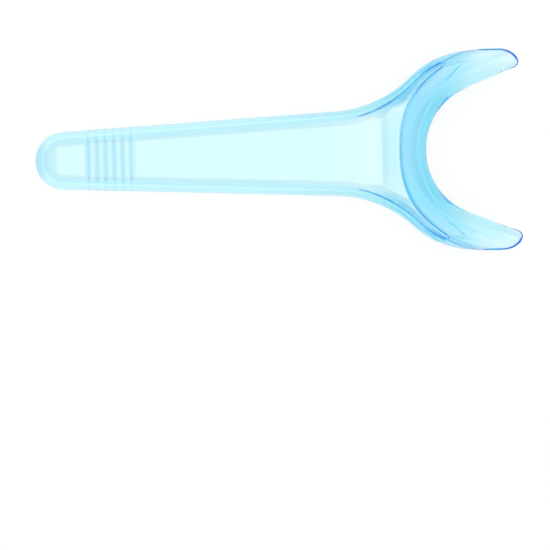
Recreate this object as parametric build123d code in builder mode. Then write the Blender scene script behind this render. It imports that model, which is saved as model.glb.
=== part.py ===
"""Hand-held dental cheek retractor, one clear plastic moulding.

A tapered, rimmed handle with thumb ribs widens into a yoke. The end of the yoke
curls up and back over the handle as a C-shaped gutter that hooks over the lip.
All sizes are in millimetres. X runs from the grip end to the arm tips, Z is up.
"""
import os
from math import asin, cos, degrees, radians, sin, sqrt, tan

from build123d import *

os.makedirs("parts", exist_ok=True)

# Handle outline, measured from the grip end
GRIP_R = 8.9          # full-round grip end
TAPER = 2.82          # widening of each side, degrees
FLARE_X = 93.3        # where the sides start to flare
FLARE_R = 34.7        # hollow of the flare
FLARE_ANGLE = 44.2    # steepest direction of the side, degrees
SHOULDER_R = 27.3     # round of the shoulder
SHOULDER_ANGLE = 10.0
ARM_SIDE_R = 94.0     # slow curve of the rim below the arms

# Handle section
FLOOR = 2.3           # thickness of the tray floor
RIM_W = 3.2           # width of the rim round the tray
TRAY_END = 4.0        # length of the slope at the grip end of the tray
RIM_BEVEL = 1.0       # outer bevel of the rim
RIM_DRAFT = 9.0       # slope of the rim's inner side, degrees
TRAY_CORNER = 0.85    # slope between the rim and the floor
BASE_EDGE = 0.5       # broken edge of the underside

# Thumb ribs
RIB_COUNT = 6
RIB_X = 16.1
RIB_PITCH = 2.65
RIB_RISE = 1.2
RIB_RUN = 1.3

# C-shaped gutter
BEND_R = 20.43        # inside of the C
ARM_ANGLE = 21.8      # spread of each arm, degrees
ARM_RUN = 0.8957 * BEND_R  # straight part of each arm
C_X = 140.9           # centre of the C
HOOK_H = 12.5         # height of the hook
LIP_MID = 2.6         # thickness of the flange at its free edge, in the middle of the C
LIP_ARM = 1.6         # and at the arms
LIP_LEAN = 0.4        # the free edge leans out by this much
LIP_BREAK = 0.4       # broken edge of the flange, above
LIP_UNDER = 0.25      # and below
TIP_THIN = 0.65       # loss of thickness at the arm tips, as a share
# Corners of the hook's foot, poles of its front and corners of its groove, in the middle of the C and at
# the arms. A pair is the distance outwards from the inside of the C, and the height as a share of the hook's.
FOOT_MID = [(7.5, 0.03), (4.6, 0.042), (2.6, 0.11), (1.1, 0.22), (0.25, 0.36), (0.0, 0.5)]
FOOT_ARM = [(1.5, 0.56), (1.0, 0.575), (0.6, 0.605), (0.3, 0.645), (0.08, 0.69), (0.0, 0.75)]
FRONT_MID = [(0.0, 0.78), (2.5, 1.0), (6.3, 1.0)]
FRONT_ARM = [(0.0, 0.9), (2.2, 0.996), (5.6, 0.996)]
GROOVE_MID = [(4.8, 0.65), (2.7, 0.53), (2.6, 0.42), (4.4, 0.3), (7.5, 0.256)]
GROOVE_ARM = [(7.6, 0.78), (5.6, 0.71), (4.4, 0.66), (3.3, 0.61), (2.4, 0.575)]
CROWN_END = 0.985     # height of the free edge
LIP_REACH = 8.4       # the hook is slimmer only where it is narrower than this, at the tips
ARM_STATIONS = [0.4, 0.75, 0.94, 1.0]
TURN_FROM = 26.0      # the groove starts to open below here, degrees from the middle of the C
TURN_TO = 75.0        # and is fully open here
ROOM_R = 3.0          # the floor reaches this near to the inside of the C
ROOT = 0.9            # extra floor at the root of the hook
ROOT_X = 106.8        # where the floor starts to thicken towards the hook
ROOT_RAMP = 2.2       # length of that slope
# Free edge of the flange from the middle of the C to the arm, from the C's centre in shares of BEND_R
FLANGE = [(-1.4214, 0.0), (-1.1894, 0.8762), (-0.5825, 1.395), (0.1322, 1.537)]
TIP_R = 0.3377 * BEND_R  # outer round of the arm tips
TIP_END_R = 0.0685 * BEND_R  # blunt end of the tips
SWEEP_X = 108.0       # underside leaves the table here
SWEEP_MID = (124.5, 0.28 * HOOK_H)
SWEEP_END = (152.0, HOOK_H - 3.7)
RIM_OUT = (138.0, HOOK_H - 2.4)

# Height of the rim along the handle, climbing to the top of the hook
RIM_TOP = [(-1, 4.0), (50, 4.2), (86, 4.9), (104, 0.52 * HOOK_H), (120, HOOK_H - 3.2), (142, HOOK_H - 1.2)]


def side_outline(x_end):
    """Closed outline of the handle and yoke, from the grip end to a straight line at x_end."""
    a0 = radians(TAPER)
    start = (GRIP_R * (1 - sin(a0)), GRIP_R * cos(a0))
    flare = (FLARE_X, start[1] + (FLARE_X - start[0]) * tan(a0))
    with BuildLine() as outline:
        ThreePointArc((0, 0), (GRIP_R * (1 - sqrt(0.5)), GRIP_R * sqrt(0.5)), start)
        Line(start, flare)
        hollow = JernArc(flare, (cos(a0), sin(a0)), FLARE_R, FLARE_ANGLE - TAPER)
        shoulder = JernArc(hollow @ 1, hollow % 1, SHOULDER_R, SHOULDER_ANGLE - FLARE_ANGLE)
        sink = sin(radians(SHOULDER_ANGLE)) - (x_end - (shoulder @ 1).X) / ARM_SIDE_R
        arm_side = JernArc(shoulder @ 1, shoulder % 1, ARM_SIDE_R, degrees(asin(sink)) - SHOULDER_ANGLE)
        mirror(about=Plane.XZ)
        Line(arm_side @ 1, ((arm_side @ 1).X, -(arm_side @ 1).Y))
    return outline.line


def gutter_section(share, nose, reach, thin):
    """Hook section between the middle of the C (share 0) and the arms (share 1), from nose to reach."""
    slim = min(1, (reach - nose) / LIP_REACH)

    def between(middle, arm):
        mixed = [(p[0] + (q[0] - p[0]) * share, p[1] + (q[1] - p[1]) * share) for p, q in zip(middle, arm)]
        return [(BEND_R + nose + r * slim, HOOK_H * (CROWN_END - (CROWN_END - z) * thin)) for r, z in mixed]

    foot = between(FOOT_MID, FOOT_ARM)
    front = between(FRONT_MID, FRONT_ARM)
    lip = (BEND_R + reach, HOOK_H * CROWN_END)
    base = lip[1] - (LIP_MID + (LIP_ARM - LIP_MID) * share) * thin
    top = LIP_BREAK * thin
    under = LIP_UNDER * thin
    brow = lip[0] - LIP_LEAN * thin
    with BuildLine() as section:
        Polyline(*foot)
        Bezier(foot[-1], *front)
        Polyline(front[-1], (brow - top, lip[1]), (brow, lip[1] - top), (lip[0], base + under))
        Polyline((lip[0], base + under), (lip[0] - under, base), *between(GROOVE_MID, GROOVE_ARM), foot[0])
    return section.line


# The plan of the arms fixes the overall length, so the frame is centred on it
with BuildSketch() as crescent:
    with BuildLine():
        free_edge = Spline(*[(C_X + BEND_R * x, BEND_R * y) for x, y in FLANGE], tangents=((0, 1), (1, 0)))
        tip = JernArc(free_edge @ 1, (1, 0), TIP_R, -76)
        end = JernArc(tip @ 1, tip % 1, TIP_END_R, -52)
        hole = BEND_R * 0.7
        inside = Polyline(end @ 1, (end @ 1) + (end % 1) * TIP_END_R, (C_X - BEND_R / 5, hole))
        Line(inside @ 1, (C_X - hole, 0))
        mirror(about=Plane.XZ)
    make_face()

LENGTH = crescent.sketch.bounding_box().max.X
SPAN = 3 * BEND_R * FLANGE[-1][1]
plan = Plane(origin=(-LENGTH / 2, 0, 0))
side = Plane(origin=(-LENGTH / 2, SPAN / 2, 0), x_dir=(1, 0, 0), z_dir=(0, -1, 0))
c_centre = (C_X - LENGTH / 2, 0, 0)


def radial_plane(angle):
    """Plane of one hook section; 0 degrees is the middle of the C, on the handle's axis."""
    out = (-cos(radians(angle)), sin(radians(angle)), 0)
    return Plane(origin=c_centre, x_dir=out, z_dir=(sin(radians(angle)), cos(radians(angle)), 0))


def along_rim(edge):
    """True for edges that follow the rim, False for the straight cut where the yoke meets the arms."""
    return edge.center().X < c_centre[0] - 0.5


# Side view of what is cut away below the yoke and the arms
with BuildSketch(side) as underside:
    with BuildLine():
        lift = TangentArc((SWEEP_X, 0), SWEEP_MID, tangent=(1, 0))
        level = TangentArc(lift @ 1, SWEEP_END, tangent=lift % 1)
        Polyline(level @ 1, (SWEEP_END[0], -1), (SWEEP_X, -1), lift @ 0)
    make_face()

with BuildPart() as hollow:
    # Room inside the rim, open towards the C
    with BuildSketch(plan.offset(FLOOR)):
        add(side_outline(RIM_OUT[0] + 2.5 * RIM_W))
        make_face()
        offset(amount=-RIM_W, mode=Mode.REPLACE)
    extrude(amount=HOOK_H, taper=-RIM_DRAFT)
    chamfer(faces().sort_by(Axis.Z)[0].edges().filter_by(along_rim), TRAY_CORNER)

with BuildPart() as sheet:
    # The floor slopes up to the grip end; towards the hook it thickens, then rises with the underside
    with BuildSketch(side):
        with BuildLine():
            root = (ROOT_X + ROOT_RAMP, FLOOR + ROOT)
            climb = TangentArc(root, (SWEEP_MID[0], SWEEP_MID[1] + FLOOR - 0.2), tangent=(1, 0))
            Polyline(climb @ 1, RIM_OUT, (RIM_OUT[0], 0), (ROOT_X, 0), (ROOT_X, FLOOR), root)
        make_face()
        Polygon((RIM_W - 1, FLOOR + 1.5), (RIM_W + TRAY_END, FLOOR), (RIM_W - 1, 0), align=None)
    extrude(amount=SPAN)
    with BuildSketch(plan):
        add(side_outline(RIM_OUT[0]))
        make_face()
        offset(amount=-RIM_W / 2, mode=Mode.REPLACE)
    extrude(amount=HOOK_H, mode=Mode.INTERSECT)

with BuildPart() as tray:
    # Full-height block of the handle and yoke, its top rising into the arms
    with BuildSketch(plan):
        add(side_outline(RIM_OUT[0]))
        make_face()
    extrude(amount=HOOK_H)
    with BuildSketch(side):
        with BuildLine():
            crest = Spline(*RIM_TOP, tangents=((1, 0), (1, 0)))
            Polyline(crest @ 1, (RIM_TOP[-1][0], HOOK_H + 1), (RIM_TOP[0][0], HOOK_H + 1), crest @ 0)
        make_face()
    extrude(amount=SPAN, mode=Mode.SUBTRACT)
    base = faces().filter_by(Axis.Z).sort_by(Axis.Z)[0]
    chamfer(base.edges().filter_by(along_rim), BASE_EDGE)
    outside = faces().filter_by(lambda f: f.normal_at().Z > 0.5)[0].edges().filter_by(along_rim)
    chamfer(outside, RIM_BEVEL)
    add(hollow.part, mode=Mode.SUBTRACT)
    add(sheet.part)
    # The rim's underside climbs into the arm
    with BuildSketch(side):
        Polygon(SWEEP_MID, RIM_OUT, (RIM_OUT[0], -1), (SWEEP_MID[0], -1), align=None)
    extrude(amount=SPAN, mode=Mode.SUBTRACT)
    # Room for the gutter
    with BuildSketch(plan):
        with Locations((C_X, 0)):
            Circle(BEND_R + ROOM_R)
    extrude(amount=HOOK_H, mode=Mode.SUBTRACT)
    # Thumb ribs: steep towards the grip end, sloping towards the yoke
    for n in range(RIB_COUNT):
        x = RIB_X + n * RIB_PITCH
        reach = GRIP_R + x * tan(radians(TAPER)) - RIM_W
        with BuildSketch(Plane(origin=(-LENGTH / 2, reach, 0), x_dir=(1, 0, 0), z_dir=(0, -1, 0))):
            Polygon((x, FLOOR - 0.3), (x + 0.2, FLOOR + RIB_RISE), (x + RIB_RUN, FLOOR - 0.3), align=None)
        extrude(amount=2 * reach)
    extrude(underside.sketch, amount=SPAN, mode=Mode.SUBTRACT)

with BuildPart() as hook:
    # Gutter: lofted from one arm tip round the C to the other
    bend = 90 - ARM_ANGLE
    stations = [(bend * k / 4, 0) for k in range(5)] + [(bend, ARM_RUN * k) for k in ARM_STATIONS]
    for angle, run in [(-a, -r) for a, r in stations[:0:-1]] + stations:
        out = Vector(-cos(radians(angle)), sin(radians(angle)))
        inside = Vector(C_X, 0) + out * BEND_R + Vector(sin(radians(angle)), cos(radians(angle))) * run
        reach = Edge.make_line(inside, inside + out * BEND_R).intersect(crescent.sketch).edges()[0].length
        blunt = max(0, 1 - (ARM_RUN - abs(run)) / TIP_END_R)
        nose = TIP_END_R * (1 - sqrt(1 - blunt * blunt))
        turn = min(1, max(0, (abs(angle) + abs(run) - TURN_FROM) / (TURN_TO - TURN_FROM)))
        share = turn * turn * (3 - 2 * turn)
        thin = 1 - TIP_THIN * (run / ARM_RUN) ** 2
        with BuildSketch(radial_plane(angle).offset(run)):
            add(gutter_section(share, nose, reach, thin))
            make_face()
    loft()

middle = (tray.part.bounding_box().min.X + hook.part.bounding_box().max.X) / 2
with BuildPart() as cheek_retractor:
    with Locations((-middle, 0, 0)):
        add(tray.part)
        add(hook.part)

cheek_retractor.part.label = "cheek_retractor"
export_step(cheek_retractor.part, "parts/cheek_retractor.step")
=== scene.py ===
"""Clear blue cheek retractor on a white table, seen from above.

The retractor is one injection moulding in tinted polycarbonate: rimmed handle, thumb ribs,
yoke and a C-shaped gutter. Lengths are in metres, in the frame of the solid model: +X runs
from the grip end to the tips, +Z is up, and the two sides of the long axis are alike.
"""

from functools import partial
from math import cos, radians, sin, tan

import bpy
from mathutils import Matrix, Vector


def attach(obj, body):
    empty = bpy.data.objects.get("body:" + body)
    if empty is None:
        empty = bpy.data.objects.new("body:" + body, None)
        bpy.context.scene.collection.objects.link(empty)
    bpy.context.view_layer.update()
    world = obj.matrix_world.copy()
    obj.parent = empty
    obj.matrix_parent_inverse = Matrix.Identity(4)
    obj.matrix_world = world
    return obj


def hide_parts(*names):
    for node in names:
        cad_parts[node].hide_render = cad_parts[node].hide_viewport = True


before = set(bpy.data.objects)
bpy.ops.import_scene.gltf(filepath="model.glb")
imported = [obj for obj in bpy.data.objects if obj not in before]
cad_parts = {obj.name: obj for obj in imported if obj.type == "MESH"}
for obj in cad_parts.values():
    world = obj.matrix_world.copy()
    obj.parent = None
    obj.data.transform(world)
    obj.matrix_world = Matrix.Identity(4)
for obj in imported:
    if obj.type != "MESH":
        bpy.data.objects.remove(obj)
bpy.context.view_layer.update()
scene = bpy.context.scene
scene.view_settings.view_transform = "Standard"

# Light bounces many times inside clear plastic before it leaves
BOUNCES = 32
scene.cycles.max_bounces = BOUNCES
scene.cycles.glossy_bounces = BOUNCES
scene.cycles.transmission_bounces = BOUNCES

MM = 0.001

# Kinds of node that come up often
MATH = "ShaderNodeMath"
VECTOR = "ShaderNodeVectorMath"
RANGE = "ShaderNodeMapRange"
COMBINE = "ShaderNodeCombineXYZ"
SEPARATE = "ShaderNodeSeparateXYZ"
NOISE = "ShaderNodeTexNoise"
MIX = "ShaderNodeMix"
BLUR = "GeometryNodeBlurAttribute"
RESHAPE = "GeometryNodeSetPosition"


def srgb(code):
    """Linear colour of a hex code."""
    parts = [int(code[i:i + 2], 16) / 255 for i in (1, 3, 5)]
    return [p / 12.92 if p <= 0.04045 else ((p + 0.055) / 1.055) ** 2.4 for p in parts] + [1.0]


WHITE = srgb("#ffffff")


def node(tree, kind, inputs=(), **settings):
    """Adds one node. Its inputs go by name or in order, and each is a constant, a socket,
    or a node, which stands for its first output in use."""
    made = tree.nodes.new(kind)
    for name, value in settings.items():
        setattr(made, name, value)
    in_use = [socket for socket in made.inputs if socket.enabled]
    if isinstance(inputs, dict):
        named = {socket.name: socket for socket in in_use}
        pairs = [(named[name], value) for name, value in inputs.items()]
    else:
        pairs = list(zip(in_use, inputs))
    for socket, value in pairs:
        if isinstance(value, bpy.types.Node):
            value = next(output for output in value.outputs if output.enabled)
        if isinstance(value, bpy.types.NodeSocket):
            tree.links.new(value, socket)
        else:
            socket.default_value = value
    return made


def new_material(name):
    """A material with no nodes yet, and the call that adds one to it."""
    made = bpy.data.materials.new(name)
    made.use_nodes = True
    made.node_tree.nodes.clear()
    return made, partial(node, made.node_tree)


def area(add, *terms):
    """Mask of the area where each value has gone from its first limit to its second."""
    masks = [add(RANGE, [value, *limits]) for value, limits in terms]
    whole = masks[0]
    for mask in masks[1:]:
        whole = add(MATH, [whole, mask], operation="MULTIPLY")
    return whole


def gap(add, value, centre):
    """How far a value is from a centre, either way."""
    return add(MATH, [add(MATH, [value, centre], operation="SUBTRACT")], operation="ABSOLUTE")


# The handle in plan: a round grip end, then straight sides that widen towards the yoke
GRIP_X = -66.0 * MM
GRIP_R = 8.9 * MM
HANDLE_TAPER = tan(radians(2.82))


def handle_inset(add, x, side):
    """Distance in plan inwards from the handle's outline."""
    run = add(MATH, [x, GRIP_X], operation="SUBTRACT")
    behind = add(MATH, [run, 0.0], operation="MINIMUM")
    ahead = add(MATH, [run, 0.0], operation="MAXIMUM")
    half_width = add(MATH, [ahead, HANDLE_TAPER, GRIP_R], operation="MULTIPLY_ADD")
    radius = add(VECTOR, [add(COMBINE, [behind, side])], operation="LENGTH")
    return add(MATH, [half_width, radius], operation="SUBTRACT")


# The yoke in plan: each side is hollowed by a round, and the wall's foot follows it
FLARE_CENTRE = (16.7 * MM, 47.7 * MM, 0.0)
FLARE_R = 34.7 * MM
YOKE_FOOT = 2.6 * MM

# The C in plan: a round bend and two straight arms that spread from it
C_CENTRE = 66.0 * MM
BEND_R = 20.43 * MM
ARM_ANGLE = radians(21.8)


def gutter_reach(add, x, side):
    """Distance in plan from the inside of the C, growing towards the free edge."""
    out = add(COMBINE, [add(MATH, [x, C_CENTRE], operation="SUBTRACT"), side])
    along_arm = (cos(ARM_ANGLE), sin(ARM_ANGLE), 0.0)
    across_arm = (-sin(ARM_ANGLE), cos(ARM_ANGLE), 0.0)
    along = add(VECTOR, [out, along_arm], operation="DOT_PRODUCT")
    across = add(VECTOR, [out, across_arm], operation="DOT_PRODUCT")
    before_arm = add(MATH, [along, 0.0], operation="MINIMUM")
    radius = add(VECTOR, [add(COMBINE, [across, before_arm])], operation="LENGTH")
    return add(MATH, [radius, BEND_R], operation="SUBTRACT")


# The flange in plan: nearly a round about a point ahead of the bend. Its radius swells and
# draws in again with the quarter turns from the bend
LIP_CENTRE = 68.7 * MM
LIP_R = 31.74 * MM
LIP_SWELL = 3.02 * MM
LIP_DRAW = 3.36 * MM
QUARTER = radians(90)


def flange_plan(add, x, side):
    """Distance in plan past the flange's free edge, and the angle from the bend."""
    back = add(MATH, [LIP_CENTRE, x], operation="SUBTRACT")
    swing = add(MATH, [side, back], operation="ARCTAN2")
    turn = add(MATH, [swing, QUARTER], operation="DIVIDE")
    draw = add(MATH, [turn, LIP_DRAW], operation="MULTIPLY")
    swell = add(MATH, [LIP_SWELL, draw], operation="SUBTRACT")
    edge = add(MATH, [turn, swell, LIP_R], operation="MULTIPLY_ADD")
    radius = add(VECTOR, [add(COMBINE, [back, side])], operation="LENGTH")
    return add(MATH, [radius, edge], operation="SUBTRACT"), swing


# Moulded clear polycarbonate: polished tool faces, so almost mirror smooth. The eye sees
# the blue tint grow with the length of plastic behind each point, and slow flow waves.
POLYCARBONATE_IOR = 1.585
TINT = srgb("#00effd")
TINT_DENSITY = 133.0
ROUGHNESS = (0.03, 0.05)
FLOW_WAVE = 14 * MM
WAVE_HEIGHT = 0.05 * MM
WAVE_STRENGTH = 0.1

# Painted shade: tones that deepen the blue where light is caught in the moulding
RIM_PAINTED_SHADE = srgb("#ecf8ff")
FLOOR_PAINTED_SHADE = srgb("#f6ffff")
GRIP_PAINTED_SHADE = srgb("#e5effc")
RIB_PAINTED_SHADE = srgb("#cbe8fd")
WALL_PAINTED_SHADE = srgb("#bcdffc")
ROOT_PAINTED_SHADE = srgb("#eefaff")
FLANGE_PAINTED_SHADE = srgb("#ebf4ff")
STREAK_PAINTED_SHADE = srgb("#e4f8ff")
EDGE_PAINTED_SHADE = srgb("#4ea8f2")

# Limits of the painted shade and light: where each is nothing, and where it is full
RIM_FOOT = 2.9 * MM
RIM_BAND = (1.1 * MM, 0.3 * MM)
RIM_TO = (20 * MM, 0.0)
FLOOR_EDGE = (RIM_FOOT, RIM_FOOT + 1.5 * MM)
FLOOR_TO = (30 * MM, 15 * MM)
GRIP_END = (-71 * MM, -73 * MM)
GRIP_SIDE = (7.5 * MM, 4 * MM)
RIB_FIRST = -58.5 * MM
RIB_PITCH = 2.63 * MM
RIB_COUNT = 6
RIB_LINE = (0.16, 0.04)  # in pitches
RIB_END = (1.4 * MM, 2.8 * MM)
WALL_SLOPE = (0.2, 0.5)
WALL_FROM = (29 * MM, 41 * MM)
FLARE_BAND = (1.2 * MM, 0.4 * MM)
FLARE_FROM = (28 * MM, 38 * MM)
CLEAR_OF_FLANGE = (0.1 * MM, 0.4 * MM)
ROOT_FROM = (30 * MM, 33.5 * MM)
ROOT_SIDE = (15 * MM, 6 * MM)
FLANGE_EDGE = (0.1 * MM, -0.2 * MM)
FLANGE_TURN = (radians(35), radians(85), 1.0, 0.15)  # full at the bend, a trace on the arms
FOLD = 3 * MM
# Near the fold the flange's painted shade is left out, as a painted light line
FOLD_PAINTED_LIGHT = (0.15 * MM, 0.7 * MM)
STREAK_WIDTH = 1.5 * MM
STREAK_RUN = 30 * MM
STREAK_LEVEL = (0.4, 0.66)
STREAK_EDGE = (0.0, -1 * MM)
ARM_LINE = (0.5 * MM, 0.15 * MM)
ARM_LINE_FROM = (radians(46), radians(52))
ARM_LINE_SLOPE = (0.1, 0.3)


def clear_polycarbonate():
    """The retractor's plastic, with painted shade and light laid out in plan as tones."""
    made, add = new_material("clear_blue_polycarbonate_moulded")
    place = add("ShaderNodeTexCoord").outputs["Object"]
    x, y, _ = add(SEPARATE, [place]).outputs
    side = add(MATH, [y], operation="ABSOLUTE")
    inset = handle_inset(add, x, side)
    reach = gutter_reach(add, x, side)
    past, swing = flange_plan(add, x, side)
    free_edge, faces_up, faces_in = (
        add("ShaderNodeAttribute", attribute_name=name).outputs["Fac"]
        for name in ("free_edge", "faces_up", "faces_in"))

    # Handle: painted shade at the foot of the rim, on the tray's floor and over the thick round
    # of the grip end
    rim = area(add, (gap(add, inset, RIM_FOOT), RIM_BAND), (x, RIM_TO))
    floor = area(add, (inset, FLOOR_EDGE), (x, FLOOR_TO))
    grip = area(add, (x, GRIP_END), (side, GRIP_SIDE))

    # Each thumb rib gets one thin line of painted shade at its steep face
    from_first = add(MATH, [x, RIB_FIRST], operation="SUBTRACT")
    pitches = add(MATH, [from_first, RIB_PITCH], operation="DIVIDE")
    nearest = add("ShaderNodeClamp", {
        "Value": add(MATH, [pitches], operation="ROUND"), "Min": 0.0, "Max": RIB_COUNT - 1.0})
    rib = area(add, (gap(add, pitches, nearest), RIB_LINE), (inset, RIB_END))

    # Painted shade where the inner walls of the yoke are seen along their height, and where the
    # root of the hook is thick
    outside = (past, CLEAR_OF_FLANGE)
    flare = add(VECTOR, [add(COMBINE, [x, side]), FLARE_CENTRE], operation="DISTANCE")
    wall = add(MATH, [
        area(add, (faces_in, WALL_SLOPE), (x, WALL_FROM), outside),
        area(add, (gap(add, flare, FLARE_R + YOKE_FOOT), FLARE_BAND), (x, FLARE_FROM), outside),
    ], operation="MAXIMUM")
    root = area(add, (x, ROOT_FROM), (side, ROOT_SIDE), outside)

    # Painted shade deepens the flange at the bend, less on the arms, and leaves a painted light
    # line along the gutter's fold
    fold = (gap(add, reach, FOLD), FOLD_PAINTED_LIGHT)
    flange = area(add, (past, FLANGE_EDGE), (swing, FLANGE_TURN), fold)

    # Painted shade in random streaks along the gutter. Their noise is measured in widths and runs
    streak_place = add(VECTOR, [add(COMBINE, [reach, x, y]), (STREAK_WIDTH, STREAK_RUN, STREAK_RUN)],
                 operation="DIVIDE")
    streak_noise = add(NOISE, {"Vector": streak_place, "Scale": 1.0, "Detail": 1.0})
    streak = area(add, (streak_noise, STREAK_LEVEL), (past, STREAK_EDGE), fold)

    # The lip's free edge traps light: painted shade draws it as a deep line, and its run over the
    # arms too
    arm_line = area(add, (gap(add, past, 0.0), ARM_LINE), (swing, ARM_LINE_FROM),
                    (faces_up, ARM_LINE_SLOPE))
    edge = add(MATH, [free_edge, arm_line], operation="MAXIMUM")

    # Painted shade and light: each mask mixes its tone into the surface colour
    shade = WHITE
    for mask, blue in (
            (rim, RIM_PAINTED_SHADE), (floor, FLOOR_PAINTED_SHADE), (grip, GRIP_PAINTED_SHADE), (rib, RIB_PAINTED_SHADE),
            (wall, WALL_PAINTED_SHADE), (root, ROOT_PAINTED_SHADE), (flange, FLANGE_PAINTED_SHADE),
            (streak, STREAK_PAINTED_SHADE), (edge, EDGE_PAINTED_SHADE)):
        shade = add(MIX, [mask, shade, blue], data_type="RGBA")

    flow = add(NOISE, {"Vector": place, "Scale": 1 / FLOW_WAVE, "Detail": 1.0})
    wave = add("ShaderNodeBump", {
        "Strength": WAVE_STRENGTH, "Distance": WAVE_HEIGHT, "Height": flow})
    plastic = add("ShaderNodeBsdfPrincipled", {
        "Base Color": shade, "Transmission Weight": 1.0, "IOR": POLYCARBONATE_IOR,
        "Roughness": add(RANGE, [flow, 0.0, 1.0, *ROUGHNESS]), "Normal": wave})
    tint = add("ShaderNodeVolumeAbsorption", {"Color": TINT, "Density": TINT_DENSITY})
    add("ShaderNodeOutputMaterial", {"Surface": plastic, "Volume": tint})
    return made


# White table: matt laminate. It shows white to the camera and through the plastic,
# and still takes the retractor's soft shadow.
LAMINATE_GREY = srgb("#666666")
LAMINATE_LIFT = 0.875
TABLE_SIZE = 6.0
TABLE_DROP = 0.05 * MM


def white_laminate():
    """The table's face, lifted to white only for rays that see it."""
    made, add = new_material("white_laminate_matt")
    ray = add("ShaderNodeLightPath").outputs
    mirrored = add(MATH, [ray["Is Camera Ray"], ray["Is Glossy Ray"]], operation="MAXIMUM")
    seen = add(MATH, [mirrored, ray["Is Transmission Ray"]], operation="MAXIMUM")
    lift = add(MATH, [seen, LAMINATE_LIFT], operation="MULTIPLY")
    matt = add("ShaderNodeBsdfDiffuse", {"Color": LAMINATE_GREY})
    glow = add("ShaderNodeEmission", {"Color": WHITE, "Strength": lift})
    add("ShaderNodeOutputMaterial", {"Surface": add("ShaderNodeAddShader", [matt, glow])})
    return made


# Moulding: the solid's own surface with the soft edges that a polished tool leaves
WELD = 0.002 * MM
SKIN_GRID = 0.37 * MM
FINISH = {  # input of the finish: kind of socket, value
    "Soft Passes": ("NodeSocketInt", 16),
    "Corner Passes": ("NodeSocketInt", 110),
    "Corners From": ("NodeSocketFloat", 27 * MM),
}
RIBS_FROM = (-62 * MM, -61 * MM)
RIBS_TO = (-43 * MM, -44 * MM)
RIBS_SIDE = (7 * MM, 6 * MM)
RIB_SOFTNESS = 0.25  # share of the softening that the thumb ribs get
HEAD_FADE = 3 * MM
HOLLOW = (-0.06, -0.14)  # bend at an edge of the skin, in radians
HOLLOW_PASSES = 8
HOLLOW_FULL = (0.5, 0.4)  # share that counts as full, in each round of spreading
LIP_BEND = (0.04, 0.12)
LIP_HEIGHT = (6 * MM, 7 * MM)
LIP_BAND = (1.3 * MM, 0.9 * MM)
LIP_TO = (64 * MM, 58 * MM)


def moulding_finish(plastic):
    """Nodes that soften the skin and store what the plastic's painted shade reads, and the
    identifiers of their inputs."""
    tree = bpy.data.node_groups.new("moulding_finish", "GeometryNodeTree")
    tree.interface.new_socket("Geometry", in_out="INPUT", socket_type="NodeSocketGeometry")
    identifiers = {
        name: tree.interface.new_socket(name, in_out="INPUT", socket_type=kind).identifier
        for name, (kind, _) in FINISH.items()}
    tree.interface.new_socket("Geometry", in_out="OUTPUT", socket_type="NodeSocketGeometry")
    add = partial(node, tree)
    given = add("NodeGroupInput").outputs
    here = add("GeometryNodeInputPosition")
    x, y, z = add(SEPARATE, [here]).outputs
    side = add(MATH, [y], operation="ABSOLUTE")

    # Every edge softens a little, the thumb ribs least
    ribs = area(add, (x, RIBS_FROM), (x, RIBS_TO), (side, RIBS_SIDE))
    share = add(RANGE, [ribs, 0.0, 1.0, 1.0, RIB_SOFTNESS])
    soft = add(BLUR, [here, given["Soft Passes"], share], data_type="FLOAT_VECTOR")
    skin = add(RESHAPE, {"Geometry": given["Geometry"], "Position": soft})

    # Inside corners of the yoke and gutter are rounder still
    bend = add(BLUR, [add("GeometryNodeInputMeshEdgeAngle").outputs["Signed Angle"], 1],
               data_type="FLOAT")
    start = given["Corners From"]
    head = (x, (start, add(MATH, [start, HEAD_FADE], operation="ADD")))
    hollow = area(add, (bend, HOLLOW), head)
    for full in HOLLOW_FULL:
        spread = add(BLUR, [hollow, HOLLOW_PASSES], data_type="FLOAT")
        hollow = add(RANGE, [spread, 0.0, full])
    rounder = add(BLUR, [here, given["Corner Passes"]], data_type="FLOAT_VECTOR")
    rounded = add(MIX, [hollow, here, rounder], data_type="VECTOR")
    skin = add(RESHAPE, {"Geometry": skin, "Position": rounded})

    # What the painted shade reads: the lip's free edge, and how far the skin faces up and inwards
    past, _ = flange_plan(add, x, side)
    lip = area(add, (bend, LIP_BEND), head, (z, LIP_HEIGHT), (gap(add, past, 0.0), LIP_BAND),
               (x, LIP_TO))
    normal = add("GeometryNodeInputNormal").outputs["Normal"]
    _, to_left, up = add(SEPARATE, [normal]).outputs
    outwards = add(MATH, [to_left, add(MATH, [y], operation="SIGN")], operation="MULTIPLY")
    inwards = add(MATH, [outwards, -1.0], operation="MULTIPLY")
    for name, value in {"free_edge": lip, "faces_up": up, "faces_in": inwards}.items():
        skin = add("GeometryNodeStoreNamedAttribute", {
            "Geometry": skin, "Name": name, "Value": value}, data_type="FLOAT", domain="POINT")

    smooth = add("GeometryNodeSetShadeSmooth", {"Geometry": skin, "Shade Smooth": True})
    real = add("GeometryNodeRealizeInstances", {"Geometry": smooth})
    dressed = add("GeometryNodeSetMaterial", {"Geometry": real, "Material": plastic})
    add("NodeGroupOutput", {"Geometry": dressed})
    return tree, identifiers


clear_blue = clear_polycarbonate()
finish, identifiers = moulding_finish(clear_blue)

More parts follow.
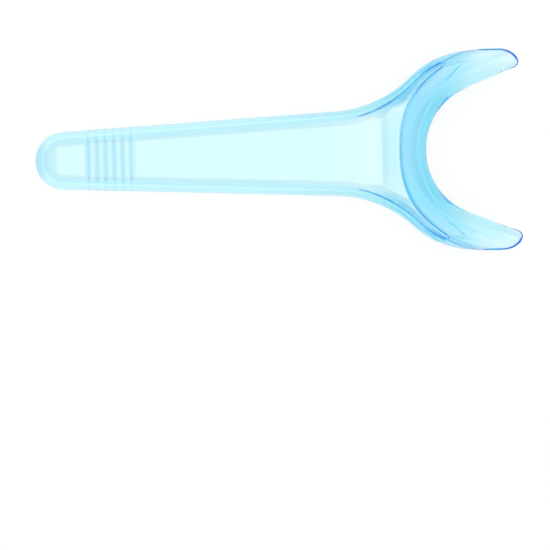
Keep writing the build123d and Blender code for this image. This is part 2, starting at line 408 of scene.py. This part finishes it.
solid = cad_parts["cheek_retractor"]
moulding = bpy.data.objects.new("retractor_moulding", solid.data.copy())
scene.collection.objects.link(moulding)
merged = moulding.modifiers.new("merge", "WELD")
merged.merge_threshold = WELD
remeshed = moulding.modifiers.new("skin", "REMESH")
remeshed.mode = "VOXEL"
remeshed.voxel_size = SKIN_GRID
finished = moulding.modifiers.new("finish", "NODES")
finished.node_group = finish
for name, (_, value) in FINISH.items():
    finished[identifiers[name]] = value
bpy.context.view_layer.update()
evaluated = moulding.evaluated_get(bpy.context.evaluated_depsgraph_get())
moulded = bpy.data.meshes.new_from_object(evaluated)
moulding.modifiers.clear()
moulding.data = moulded
moulding.data.materials.clear()
moulding.data.materials.append(clear_blue)

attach(moulding, "root")
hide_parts("cheek_retractor")

# Table, just clear of the retractor's underside
bpy.ops.mesh.primitive_plane_add(size=TABLE_SIZE, location=(0, 0, -TABLE_DROP))
table = bpy.context.object
table.name = "table_top"
table.data.materials.append(white_laminate())

# Plain soft light: an even white dome and one large softbox overhead, facing down
DOME = 0.95
SOFTBOX_SIDE = 0.7
SOFTBOX_HEIGHT = 0.95
SOFTBOX_WATTS = 1.6
world = bpy.data.worlds.new("studio_dome")
scene.world = world
world.use_nodes = True
background = world.node_tree.nodes["Background"]
background.inputs["Color"].default_value = WHITE
background.inputs["Strength"].default_value = DOME
softbox = bpy.data.lights.new("softbox_overhead", "AREA")
softbox.size = SOFTBOX_SIDE
softbox.energy = SOFTBOX_WATTS
lamp = bpy.data.objects.new("softbox_overhead", softbox)
lamp.location = (0, 0, SOFTBOX_HEIGHT)
scene.collection.objects.link(lamp)

# Camera: straight down from well above, turned slightly as the photograph is
HEIGHT = 4.0
FRAME_WIDTH = 169.5 * MM
SENSOR = 36.0
NEAREST = 0.01
TURN = radians(1.5)
CENTRE = Vector((-1.97 * MM, -36.85 * MM, 0))
camera = bpy.data.objects.new("camera", bpy.data.cameras.new("camera"))
scene.collection.objects.link(camera)
camera.data.sensor_width = SENSOR
camera.data.lens = SENSOR * HEIGHT / FRAME_WIDTH
camera.data.clip_start = NEAREST
right = Vector((cos(TURN), -sin(TURN), 0))
ahead = Vector((sin(TURN), cos(TURN), 0))
back = right.cross(ahead)
turned = Matrix((right, ahead, back)).transposed().to_4x4()
camera.matrix_world = Matrix.Translation(CENTRE + back * HEIGHT) @ turned
scene.camera = camera
